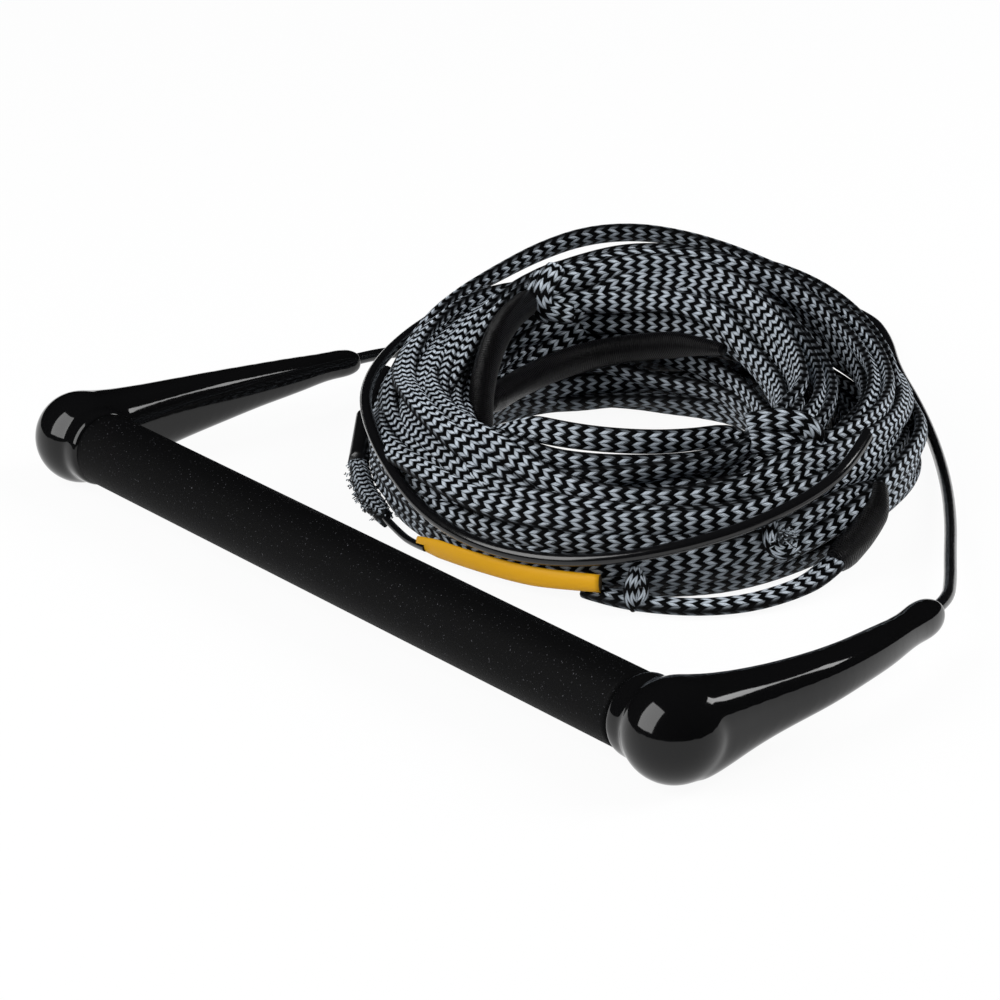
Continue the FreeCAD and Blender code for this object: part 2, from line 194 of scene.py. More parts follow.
def math_node(nodes, links, operation, first, second=None):
    """One Math node; an input may be a number or another node's socket."""
    node = nodes.new("ShaderNodeMath")
    node.operation = operation
    for socket, value in zip(node.inputs, (first, second)):
        if value is None:
            continue
        if isinstance(value, (int, float)):
            socket.default_value = value
        else:
            links.new(value, socket)
    return node.outputs[0]


def noise_node(nodes, links, scale, detail=2.0, place=None):
    """Cloudy noise through the object's own space, or through another place that is given."""
    noise = nodes.new("ShaderNodeTexNoise")
    noise.inputs["Scale"].default_value = scale
    noise.inputs["Detail"].default_value = detail
    if place is None:
        place = nodes.new("ShaderNodeTexCoord").outputs["Object"]
    links.new(place, noise.inputs["Vector"])
    return noise.outputs["Fac"]


print("material helpers ready")

# %% Limits, colours and relief
def drawn_out(nodes, links, value, start, end, least=0.0, most=1.0, soft=False):
    """A value drawn out so that start becomes least and end becomes most."""
    span = nodes.new("ShaderNodeMapRange")
    if soft:
        span.interpolation_type = "SMOOTHSTEP"
    for name, limit in (("From Min", start), ("From Max", end), ("To Min", least), ("To Max", most)):
        span.inputs[name].default_value = limit
    links.new(value, span.inputs["Value"])
    return span.outputs["Result"]


def colour_between(nodes, links, share, first, second):
    """A colour between two; each is a plain colour or another node's socket."""
    mix = nodes.new("ShaderNodeMixRGB")
    for socket, colour in ((mix.inputs[1], first), (mix.inputs[2], second)):
        if isinstance(colour, tuple):
            socket.default_value = (*colour, 1)
        else:
            links.new(colour, socket)
    links.new(share, mix.inputs[0])
    return mix.outputs[0]


def add_relief(nodes, links, shader, height, strength, depth):
    """Relief on a finish; the depth is in millimetres."""
    bump = nodes.new("ShaderNodeBump")
    bump.inputs["Strength"].default_value = strength
    bump.inputs["Distance"].default_value = depth * mm
    links.new(height, bump.inputs["Height"])
    links.new(bump.outputs["Normal"], shader.inputs["Normal"])


def uneven_gloss(nodes, links, shader, scale, least, most):
    """Gloss that drifts a little over the surface, as on any moulded plastic."""
    cloud = noise_node(nodes, links, scale)
    links.new(drawn_out(nodes, links, cloud, 0, 1, least, most), shader.inputs["Roughness"])


print("finish helpers ready")

# %% [markdown]
# ## Floor
# The floor is one large flat sheet of pale paper. Lit by lamps alone it would go grey away from
# them, and brighter lamps would wash out the object. So most of what the camera and reflections
# see of it is a plain glow, chosen by the Light Path node. That glow throws no light on the
# object, and the small rest of the paper still takes the object's shadow.

# %% Floor
paper, paper_nodes, paper_links, paper_shader = new_material("studio_paper", (0.72, 0.72, 0.72), 0.9)
paper_shader.inputs["Specular IOR Level"].default_value = 0.0
paper_glow = paper_nodes.new("ShaderNodeEmission")
paper_path = paper_nodes.new("ShaderNodeLightPath")
paper_mix = paper_nodes.new("ShaderNodeMixShader")
seen = math_node(paper_nodes, paper_links, "MAXIMUM", paper_path.outputs["Is Camera Ray"],
                 paper_path.outputs["Is Glossy Ray"])
seen = math_node(paper_nodes, paper_links, "MAXIMUM", seen, paper_path.outputs["Is Transmission Ray"])
glow_share = 0.94
paper_share = math_node(paper_nodes, paper_links, "MULTIPLY", seen, glow_share)
paper_links.new(paper_share, paper_mix.inputs[0])
paper_links.new(paper_shader.outputs[0], paper_mix.inputs[1])
paper_links.new(paper_glow.outputs[0], paper_mix.inputs[2])
paper_links.new(paper_mix.outputs[0], paper_nodes["Material Output"].inputs["Surface"])

floor_mesh = bpy.data.meshes.new("studio_floor")
floor_reach = 6.0
floor_mesh.from_pydata([(-floor_reach, -floor_reach, 0), (floor_reach, -floor_reach, 0),
                        (floor_reach, floor_reach, 0), (-floor_reach, floor_reach, 0)], [], [(0, 1, 2, 3)])
floor = bpy.data.objects.new("studio_floor", floor_mesh)
floor_mesh.materials.append(paper)
scene.collection.objects.link(floor)
print("floor", floor_reach * 2, "m wide")

# %% [markdown]
# ## Lamps and surroundings
# Soft light comes from two large lamps, because small ones would draw hard shadows between the
# turns of rope, and a dim pale room fills in what they miss. The gloss on the end caps is really
# a picture of the lamps and of the floor. The right lamp would draw a long streak down both arms,
# so reflections don't see it, and a much smaller lamp in nearly the same place gives them a short
# glint. A duller plastic would hide the streak too, but it would lose the other highlights.

# %% Lamps and surroundings
scene.view_settings.view_transform = "Standard"
world = bpy.data.worlds.new("studio_room")
scene.world = world
world.use_nodes = True
world.node_tree.nodes["Background"].inputs["Color"].default_value = (0.93, 0.96, 1.0, 1)
world.node_tree.nodes["Background"].inputs["Strength"].default_value = 0.34
world.cycles_visibility.glossy = False


def soft_lamp(name, turned, raised, distance, width, height, power):
    """A large rectangular lamp aimed at the object, placed by its compass angle as seen from above."""
    data = bpy.data.lights.new(name, "AREA")
    data.shape = "RECTANGLE"
    data.size, data.size_y = width, height
    data.energy = power
    lamp = bpy.data.objects.new(name, data)
    turn, lift = math.radians(turned), math.radians(raised)
    direction = Vector((math.cos(turn) * math.cos(lift), math.sin(turn) * math.cos(lift), math.sin(lift)))
    lamp.location = look_at + direction * distance
    lamp.rotation_euler = (-direction).to_track_quat("-Z", "Y").to_euler()
    scene.collection.objects.link(lamp)
    return lamp


soft_lamp("lamp_left", -101, 34, 1.9, 1.4, 1.75, 42)
lamp_right = soft_lamp("lamp_right", 61, 38, 1.9, 1.0, 1.3, 31)
lamp_right.visible_glossy = False
soft_lamp("lamp_glint", 64, 34, 1.9, 0.34, 0.40, 3.6)

# %% [markdown]
# ## Coated line
# The two legs of the bridle, the single line that goes from it round the coil and the short
# stub beside it are one kind of line: cord inside a smooth black plastic coat. A bevelled NURBS
# curve is all it needs, because the coat has no relief. Its finish does the rest: a dark body
# with a clear gloss, broken a little by fine waves along the line where the cord shows through.

# %% Finish of the coated line
def coated_finish():
    material, nodes, links, shader = new_material("coated_black", (0.004, 0.004, 0.0045), 0.16)
    waves = noise_node(nodes, links, 260, 3)
    add_relief(nodes, links, shader, waves, 0.12, 0.3)
    links.new(drawn_out(nodes, links, waves, 0, 1, 0.10, 0.24), shader.inputs["Roughness"])
    return material


coated_black = coated_finish()
line_diameter = 5.0 * mm


def round_line(name, points, diameter, material):
    """A smooth round line along these control points."""
    line = smooth_curve(name, points)
    line.data.bevel_depth = diameter / 2
    line.data.bevel_resolution = 5
    line.data.use_fill_caps = True
    line.data.resolution_u = 12
    line.data.materials.append(material)
    return line


print("finish", coated_black.name)

# %% [markdown]
# ## Bridle legs and handle line
# Each leg comes straight out of an arm's tip, bends down to the floor and goes round behind the
# coil to the yoke, where the two become one. From there the handle line wraps once round the
# coil. A cord simulation could drop them on the floor, but it would settle somewhere of its own
# choosing, so control points are given along the way that each line takes. The first two
# lists are in millimetres in the model's frame, and the wrap is in the ring's own terms.

# %% Bridle legs and handle line
low = 2.6  # the height of a line that lies on the floor
left_tip = [(-204.1, 81.872, 19.2), (-206.591, 95.627, 18.433)]
right_tip = [(161.3, 81.872, 18.9), (155.309, 94.504, 18.165)]
left_leg_route = left_tip + [
    (-210, 116, 14.8), (-217, 141, 7), (-222, 169, 3.4), (-221, 198, low), (-210, 226, low),
    (-191, 246.5, low), (-169, 254, low), (-147, 257, low), (-129, 275, low), (-128.5, 300.5, 4.2),
    (-146.5, 317.4, 6.6), (-170, 317.4, 6.6)]
right_leg_route = right_tip + [
    (137, 113, 15.6), (112, 136, 13.2), (79, 167, 9.6), (40, 201, 6.2), (-5, 236, 3.6),
    (-51, 267.5, low), (-92, 292, low), (-121, 313.4, 4.4), (-145, 324.2, 6.6), (-170, 324.2, 6.6)]
yoke_end = (-208, 320.8, 6.6)
handle_line_start = [
    yoke_end, (-225, 320.8, 6.6), (-241.8, 309.9, 4.8), (-248, 290.4, 3), (-248, 266, 3.8),
    (-238, 236, 9.4), (-213, 202, 12.2), (-197, 183, 21)]
handle_line_wrap = [
    (115, 7, 37), (131, 5, 41), (147, 4, 38.5), (163, 4, 36.5), (178, 4, 36), (192, 4, 35),
    (206, 4, 27.5), (220, 4, 18.5), (234, 4, 15), (248, 4, 15.5), (262, 4, 19.5), (276, 4, 25.5),
    (289, 4, 31.5), (301, 4.6, 38.5), (311, 3.0, 45.5), (319, -2.5, 50.5)]

left_leg = round_line("bridle_leg_left_line", np.array(left_leg_route) * mm, line_diameter, coated_black)
right_leg = round_line("bridle_leg_right_line", np.array(right_leg_route) * mm, line_diameter, coated_black)
handle_route = np.concatenate([np.array(handle_line_start) * mm, outer_wall(handle_line_wrap)])
handle_line = round_line("handle_line_line", handle_route, line_diameter, coated_black)
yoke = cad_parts["bridle_yoke"]
for line, node, length, carried in ((left_leg, "bridle_leg_left", 0.317, []),
                                    (right_leg, "bridle_leg_right", 0.419, []),
                                    (handle_line, "handle_line", 0.676, [yoke])):
    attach(line, "root")
    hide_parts(node)
    print(line.name, "control points", len(line.data.splines[0].points))

# %% [markdown]
# ## The rope's turns
# About 21 m of braided rope is wound by hand into the ring. Wound rope is neither stacked in
# neat rows nor a tangle: each turn keeps its place for a while, then slips over or under its
# neighbours. So the turns are worked out: each has a place in the ring's wall at every station
# round the oval, they push each other apart like flat springs, they press outwards against the
# ring's surface, and each is smoothed along its own length. What is left over is the loose,
# wandering lay of real rope. A simulation of the whole rope would take far longer and would be
# harder to steer.

# %% The ring's wall
turns = 34
stations = 32
rope_width, rope_thickness = 10.4, 5.3
station_turn = 2 * np.pi * np.arange(stations) / stations


def wall_edges(turn):
    """The inner and outer edge of the ring at a bearing, in the coil's frame, in millimetres."""
    inner = np.stack([hole_across + hole_half_width * np.cos(turn),
                      hole_along + hole_half_length * np.sin(turn)], -1)
    outer = np.stack([coil_half_width * np.cos(turn), coil_half_length * np.sin(turn)], -1)
    return inner, outer


def wall_height(turn):
    """How high the rope is piled at a bearing, in millimetres."""
    bearings = [0, 12, 25, 38, 55, 72, 90, 110, 130, 165, 180, 225, 270, 310, 360]
    heights = [49, 50, 54, 60, 65, 67, 65, 60, 56, 50, 48.5, 48, 50, 51, 49]
    return np.interp(np.degrees(turn) % 360, bearings, heights)


inner_edge, outer_edge = wall_edges(station_turn)
width_at = np.linalg.norm(outer_edge - inner_edge, axis=1)
height_at = wall_height(station_turn)
print("wall width", width_at.min().round(1), "to", width_at.max().round(1), "mm")

# %% [markdown]
# ## Which way the rope's flat side faces
# The rope is a flat braid, wound on its edge: in most of the ring its flat side stands upright,
# leaning a little with the pile's rounded shoulders. At the coil's left end the top turns have
# tipped over and lie flat. One formula gives the angle at any place, so that the spacing of the
# turns and the skin that is built on them later agree.

# %% The flat side's angle
def face_up(turn):
    """How far the top turns lie on their flat side at a bearing; at the coil's left end they do."""
    return np.interp(np.degrees(turn) % 360, [115, 150, 215, 250], [0, 1, 1, 0])


def flat_direction(across, height, width, top, turn):
    """The angle of the rope's flat side: upright, but leaning with the pile's rounded shoulders."""
    u = (across - width / 2) / (width / 2)
    v = (height - top / 2) / (top / 2)
    laid = face_up(turn) * np.clip((v + 0.9) / 0.7, 0, 1)
    return np.radians((1 - laid) * (90 + 38 * u * v) + laid * (160 - 16 * u))


leans = np.degrees(flat_direction(width_at / 2, height_at / 2, width_at, height_at, station_turn))
print("flat side in the middle of the wall", leans.min().round(), "to", leans.max().round(), "degrees")

# %% [markdown]
# ## The turns find their places
# Every turn has a place in the wall at every station. The places start as a loose spread, and
# each turn eases from one place to the next. Then small steps are repeated: turns that overlap
# push each other apart, each is smoothed along its own length, and what has left the wall's
# section is put back on its edge. The section has round shoulders, as rope slides off a corner.

# %% Push apart, smooth and keep inside
def keep_inside(across, height, width, top, turn):
    """Pushes places that have left the rounded section back to its edge."""
    shoulder = np.where(across > width / 2, 15 + 3.5 * face_up(turn), 15.0)
    corner = np.where(height > top / 2, shoulder, 4.0)
    half = np.stack([width / 2 - rope_thickness / 2 + 0 * corner, top / 2 - rope_width / 2 + 0 * corner], -1)
    centre = np.stack([width / 2, top / 2], -1)
    place = np.stack([across, height], -1) - centre
    inner = half - corner[..., None]
    beyond = np.maximum(np.abs(place) - inner, 0) * np.sign(place)
    far = np.linalg.norm(beyond, axis=-1)
    kept_share = np.minimum(1, corner / np.maximum(far, 1e-9))[..., None]
    squeezed = np.clip(place, -inner, inner) + beyond * kept_share
    return squeezed[..., 0] + centre[..., 0], squeezed[..., 1] + centre[..., 1]


firmness = 0.42  # the share of an overlap that one step undoes


def push_apart(across, height):
    """Moves turns that overlap away from each other; each is a flat oval that leans."""
    lean = flat_direction(across, height, width_at, height_at, station_turn)
    du = across[:, None] - across[None]
    dv = height[:, None] - height[None]
    middle = (lean[:, None] + lean[None]) / 2
    c, s = np.cos(middle), np.sin(middle)
    flat = (du * c + dv * s) / rope_width
    thick = (dv * c - du * s) / rope_thickness
    gap = np.sqrt(flat ** 2 + thick ** 2) + 1e-6
    push = np.where(gap < 1, (1 - gap) / gap, 0) * firmness
    flat, thick = push * flat * rope_width, push * thick * rope_thickness
    return across + (flat * c - thick * s).sum(1), height + (flat * s + thick * c).sum(1)


def smoothed_along(across, height):
    """Each place averaged with the ones before and after it on the rope."""
    line = np.stack([(across / width_at).ravel(), (height / height_at).ravel()], -1)
    calm = line.copy()
    calm[1:-1] = 0.5 * line[1:-1] + 0.25 * (line[:-2] + line[2:])
    calm = calm.reshape(turns, stations, 2)
    return calm[..., 0] * width_at, calm[..., 1] * height_at


print("each turn is an oval of", rope_width, "by", rope_thickness, "mm")

# %% Wind the turns
def slow_wave(rng, count, lengths):
    """A random slow wave along the rope; the lengths are in turns."""
    steps = np.arange(count) / stations
    return sum(rng.normal() * np.sin(2 * np.pi * steps / length + rng.uniform(0, 6.3)) for length in lengths)


def spread_slots(rng):
    """A loose place for each turn, as shares of the wall, in an order that hops to a near one."""
    slots = rng.uniform(0.08, 0.92, (turns + 1, 2))
    for _ in range(200):
        apart = slots[:, None] - slots[None]
        far = np.linalg.norm(apart, axis=-1) + np.eye(turns + 1)
        push = np.where(far < 0.2, (0.2 - far) / far, 0)[..., None] * apart
        slots = np.clip(slots + 0.3 * push.sum(1), 0.05, 0.95)
    order = [0]
    left = set(range(1, turns + 1))
    while left:
        near = sorted(left, key=lambda k: np.linalg.norm(slots[k] - slots[order[-1]]))
        pick = near[min(int(rng.integers(0, 6)), len(near) - 1)]
        order.append(pick)
        left.remove(pick)
    return slots[order]


pull_home = 0.04  # the share of the way back to its first place, fading over the rounds
press_out = 0.10  # millimetres outwards in every round


def wind_turns(seed, rounds):
    """How far across the wall and how high every turn is at every station, in millimetres."""
    rng = np.random.default_rng(seed)
    slots = spread_slots(rng)
    share = np.arange(stations)[None, :, None] / stations
    ease = share * share * (3 - 2 * share)
    goal = slots[:-1, None] * (1 - ease) + slots[1:, None] * ease
    for axis in (0, 1):
        wave = slow_wave(rng, turns * stations, (0.31, 0.43, 0.61, 0.83, 1.3, 2.1))
        goal[..., axis] += 0.085 * wave.reshape(turns, stations)
    goal_across, goal_height = goal[..., 0] * width_at, goal[..., 1] * height_at
    across, height = goal_across, goal_height
    for step in range(rounds):
        cooling = 1 - step / rounds
        across, height = push_apart(across, height)
        across = across + (goal_across - across) * pull_home * cooling
        height = height + (goal_height - height) * pull_home * cooling
        out = np.stack([(across / width_at - 0.5), (height / height_at - 0.5)], -1)
        out = out / np.maximum(np.linalg.norm(out, axis=-1, keepdims=True), 0.15)
        across, height = across + press_out * out[..., 0], height + press_out * out[..., 1]
        if step % 2 == 0:
            across, height = smoothed_along(across, height)
        across, height = keep_inside(across, height, width_at, height_at, station_turn)
    return across, height


turn_across, turn_height = wind_turns(11, 420)
print("turns", turns, "pile up to", turn_height.max().round(1), "mm")

# %% [markdown]
# ## The loose lay
# Real rope is less calm than these sums. A slow random heave first lifts and sinks each turn
# along its way, least on the outside, where the handle line holds the coil together. Then a few
# turns are moved one by one, because no pushing finds them: one is lifted high at the back, one is
# raised along the front while its neighbours there sit back and the outer turns sag, and both
# ends of the rope are tucked into the pile. Moves are given as shares between two bearings.

# %% Shares of the way round
def smooth_step(value, start, end):
    share = np.clip((value - start) / (end - start), 0, 1)
    return share * share * (3 - 2 * share)


bearing_at = np.degrees(station_turn)


def between(start, end, ease):
    """1 between two bearings, easing to 0 outside them; the end may pass 360."""
    shifted = (bearing_at - start + ease) % 360
    past_end = smooth_step(shifted, end - start + ease, end - start + 2 * ease)
    return smooth_step(shifted, 0, ease) * (1 - past_end)


print("stations every", round(360 / stations, 1), "degrees")

# %% Heave
heave = slow_wave(np.random.default_rng(21), turns * stations, (0.33, 0.47, 0.71, 1.1, 1.9))
heave = heave.reshape(turns, stations)
most_out = np.where(turn_across > 0.6 * width_at, 1.0, 2.8)
heave = np.clip((1.9 + 0.6 * face_up(station_turn)) * heave / heave.std(), -4.4, most_out)
away = np.stack([turn_across / width_at - 0.5, turn_height / height_at - 0.5], -1)
away = away / np.maximum(np.linalg.norm(away, axis=-1, keepdims=True), 0.2)
turn_across += heave * away[..., 0]
turn_height = np.maximum(turn_height + heave * away[..., 1], np.minimum(turn_height, 5.3))
print("heave", heave.min().round(1), "to", heave.max().round(1), "mm")

# %% The turn lifted at the back
taken = []
lifted = smooth_step(bearing_at, 52, 84) * (1 - smooth_step(bearing_at, 140, 172))
lifted_to = np.interp(bearing_at, [60, 80, 92, 104, 114, 126, 140, 154, 170],
                      [62, 63, 65, 63.5, 58.5, 52, 47.5, 45, 44])
at_back = (bearing_at > 85) & (bearing_at < 125)
upper_back = np.argmax((turn_height + 0.25 * turn_across)[:, at_back].mean(1))
turn_across[upper_back] += lifted * (width_at - 4.5 - turn_across[upper_back])
turn_height[upper_back] += lifted * (lifted_to - turn_height[upper_back])
taken.append(upper_back)
print("turn", upper_back, "lifted to", lifted_to.max(), "mm")

# %% Turns loosened one by one
def loosen(towards, start, end, ease, shift):
    """Draws one surface turn a little out of the pile; towards picks it by its side of the wall."""
    share = between(start, end, ease)
    held = share > 0.5
    side = (towards[0] * turn_across / width_at + towards[1] * turn_height / height_at)[:, held].mean(1)
    side[taken] = -9
    pick = int(np.argmax(side))
    taken.append(pick)
    turn_across[pick] += share * shift[0]
    turn_height[pick] += share * shift[1]
    return pick


front_step = between(238, 284, 22) * smooth_step(turn_across / width_at, 0.25, 0.7)
turn_height *= 1 - 0.19 * front_step
loosen((-0.8, 1), 235, 300, 22, (-3.0, 7.0))
set_back = between(246, 294, 18) * (1 - smooth_step(turn_across / width_at, 0.3, 0.9))
set_back[taken] = 0
turn_across += 1.0 * set_back
turn_height -= 2.6 * set_back * smooth_step(turn_height / height_at, 0.45, 0.85)
loosen((-0.2, 1), 5, 45, 25, (-2.0, 3.0))
loosen((0.6, 1), 195, 240, 20, (2.0, 3.0))
loosen((1, 0.4), 320, 350, 18, (3.0, 1.0))
loosen((-1, 0.2), 60, 105, 18, (-3.0, 0.0))
print("turns moved by hand", [int(k) for k in taken])

# %% Tucked ends and the foot of the back wall
tucked = 1 - smooth_step(np.arange(turns * stations), 1, 7)
tucked = (tucked + tucked[::-1]).reshape(turns, stations)
turn_across += tucked * (0.5 * width_at - turn_across)
turn_height += tucked * (0.5 * height_at - turn_height)
at_foot = np.clip(1 - turn_height / 34, 0, 1) * np.clip(1 - turn_across / width_at, 0, 1)
turn_across -= 11 * between(70, 110, 25) * at_foot
print("turns", turns, "highest", turn_height.max().round(1), "mm")

# %% [markdown]
# ## One route for the whole rope
# The places of all turns, one after another, are the control points of a single NURBS curve, so
# the rope really is one piece from end to end. Separate rings would be simpler, but a ring closes
# on itself, and the eye notices that no turn ever leads on to the next.

# %% Control points of the whole rope
direction = (outer_edge - inner_edge) / width_at[:, None]
flat_place = inner_edge[None] + direction[None] * turn_across[..., None]
rope_controls = coil_place(flat_place[..., 0].ravel(), flat_place[..., 1].ravel(), turn_height.ravel())
rope_row = route_points("rope_route", rope_controls, 4.0 * mm)
rope_length = distances(rope_row)[-1]
print("rope length", round(rope_length, 2), "m in", len(rope_controls), "control points")

# %% [markdown]
# ## Braided skin
# The rope is a hollow braid that lies flat: wider than it is thick. A round bevel can't show that,
# so the skin is a mesh tube with a flat oval section, and its flat side follows the angle that was
# worked out above, with a little slow twist. Each face carries two numbers in a UV map, how far
# along the rope and how far round it, so the braid's pattern can follow the rope round every bend.

# %% A tube with a flat oval section
def flat_tube(name, centres, flat_sides, width, thickness, around, repeat, columns):
    """A closed tube; its UV map counts pattern repeats along and columns round."""
    ahead = unit(np.gradient(centres, axis=0))
    side = unit(flat_sides - (flat_sides * ahead).sum(1, keepdims=True) * ahead)
    upright = np.cross(ahead, side)
    rings = len(centres)
    wide = np.broadcast_to(width, rings)[:, None, None] / 2
    thick = np.broadcast_to(thickness, rings)[:, None, None] / 2
    flatness = float(np.mean(thick) / np.mean(wide))
    fine = np.linspace(0, 2 * np.pi, 721)
    round_it = distances(np.stack([np.cos(fine), flatness * np.sin(fine), 0 * fine], 1))
    angle = np.interp(np.arange(around) / around * round_it[-1], round_it, fine)
    out = side[:, None] * np.cos(angle)[None, :, None] * wide
    out = out + upright[:, None] * np.sin(angle)[None, :, None] * thick
    vertices = (centres[:, None] + out).reshape(-1, 3)
    ring, spot = np.meshgrid(np.arange(rings - 1), np.arange(around), indexing="ij")
    following = (spot + 1) % around
    faces = np.stack([ring * around + spot, ring * around + following,
                      (ring + 1) * around + following, (ring + 1) * around + spot], -1).reshape(-1, 4)
    ends = [list(range(around))[::-1], [(rings - 1) * around + k for k in range(around)]]
    mesh = bpy.data.meshes.new(name)
    mesh.from_pydata(vertices.tolist(), [], faces.tolist() + ends)
    along = distances(centres) / repeat
    u = np.stack([along[ring], along[ring], along[ring + 1], along[ring + 1]], -1)
    v = np.stack([spot, spot + 1, spot + 1, spot], -1) * columns / around
    uv = np.stack([u.reshape(-1), v.reshape(-1)], -1)
    uv = np.concatenate([uv, np.zeros((2 * around, 2))]).astype(np.float32)
    mesh.uv_layers.new(name="braid").data.foreach_set("uv", uv.ravel())
    mesh.polygons.foreach_set("use_smooth", [True] * len(mesh.polygons))
    piece = bpy.data.objects.new(name, mesh)
    scene.collection.objects.link(piece)
    return piece


print("tube helper ready")

# %% The flat side along the rope
def coil_terms(points):
    """Bearing, share of the wall's width and height of places in the ring."""
    x, y = (points[:, 0] - coil_centre[0]) / mm, (points[:, 1] - coil_centre[1]) / mm
    across = x * math.cos(coil_turned) + y * math.sin(coil_turned)
    along = -x * math.sin(coil_turned) + y * math.cos(coil_turned)
    turn = np.arctan2((along - hole_along / 2) / (coil_half_length + hole_half_length),
                      (across - hole_across / 2) / (coil_half_width + hole_half_width))
    inner, outer = wall_edges(turn)
    wide = np.linalg.norm(outer - inner, axis=1)
    heading = (outer - inner) / wide[:, None]
    depth = ((np.stack([across, along], -1) - inner) * heading).sum(1)
    return turn, depth, wide, heading, points[:, 2] / mm


def calm_row(values, reach):
    """A row of numbers averaged with its neighbours."""
    weights = np.hanning(2 * reach + 3)[1:-1]
    weights = weights / weights.sum()
    padded = np.pad(values, reach, mode="edge")
    return np.convolve(padded, weights, mode="valid")


def flat_sides_in_coil(points, reach, twist):
    """The direction of the rope's flat side at each point, turned smoothly along the rope."""
    turn, depth, wide, heading, height = coil_terms(points)
    lean = flat_direction(depth, height, wide, wall_height(turn), turn)
    lean = calm_row(lean, reach) + twist
    outwards = np.stack([heading[:, 0] * math.cos(coil_turned) - heading[:, 1] * math.sin(coil_turned),
                         heading[:, 0] * math.sin(coil_turned) + heading[:, 1] * math.cos(coil_turned),
                         np.zeros(len(points))], -1)
    return outwards * np.cos(lean)[:, None] + np.array([0, 0, 1]) * np.sin(lean)[:, None]


print("flat side follows the ring's wall")

# %% The rope's skin
braid_repeat = 6.1 * mm
braid_columns = 7
twist_at = np.linspace(0, turns, len(rope_row))
twist_rng = np.random.default_rng(4)
twist_waves = [twist_rng.normal() * np.sin(2 * np.pi * twist_at / length + twist_rng.uniform(0, 6.3))
               for length in (0.23, 0.37, 0.71, 1.7)]
rope_twist = np.radians(7) * sum(twist_waves)
rope = flat_tube("rope", rope_row, flat_sides_in_coil(rope_row, 8, rope_twist), rope_width * mm,
                 rope_thickness * mm, 14, braid_repeat, braid_columns)
print("rope faces", len(rope.data.polygons))

# %% [markdown]
# ## Finish of the braid
# Seen close, a braid is short slanting floats: a yarn shows for a stretch, dives under its
# neighbour and comes up again. Round the rope they stand in columns, and neighbouring columns
# slant opposite ways, which draws the zigzag. So each place on the skin gets its column, its
# offset from the column's middle and its phase along the rope, and a sine wave of the phase is
# the float: grey where it is high, black where it is low, with rounded ends at the column's
# border. The same numbers make the relief, so light catches each yarn where its colour is. A
# drawn picture of a braid could be wrapped round instead, but it would blur close up.

# %% Where each yarn shows
def skin_map(nodes, links):
    """The skin's UV map, how far along the piece and how far round it."""
    uv = nodes.new("ShaderNodeUVMap")
    uv.uv_map = "braid"
    split = nodes.new("ShaderNodeSeparateXYZ")
    links.new(uv.outputs[0], split.inputs[0])
    return uv.outputs[0], split.outputs[0], split.outputs[1]


def braid_floats(nodes, links, m):
    """How far round, which column, how far from its middle, and the phase along the rope."""
    _, along, around = skin_map(nodes, links)
    fuzz = m("SUBTRACT", noise_node(nodes, links, 380, 3), 0.5)
    columns = m("MULTIPLY", around, 2.0)
    column = m("FLOOR", m("ADD", columns, m("MULTIPLY", fuzz, 0.30)))
    offset = m("SUBTRACT", m("SUBTRACT", columns, column), 0.5)
    odd = m("MODULO", column, 2.0)
    slant = m("SUBTRACT", m("MULTIPLY", odd, 2.0), 1.0)
    phase = m("ADD", along, m("MULTIPLY", m("MULTIPLY", offset, slant), 0.42))
    phase = m("ADD", phase, m("MULTIPLY", odd, 0.10))
    phase = m("ADD", phase, m("MULTIPLY", fuzz, 0.14))
    return around, column, offset, phase


threads_in_yarn = 6
black_yarn = (0.0012, 0.0012, 0.0015)
grey_yarn_shade, grey_yarn_light = (0.13, 0.15, 0.17), (0.60, 0.66, 0.73)
print("columns round the rope", 2 * braid_columns, "repeat", round(braid_repeat / mm, 1), "mm")
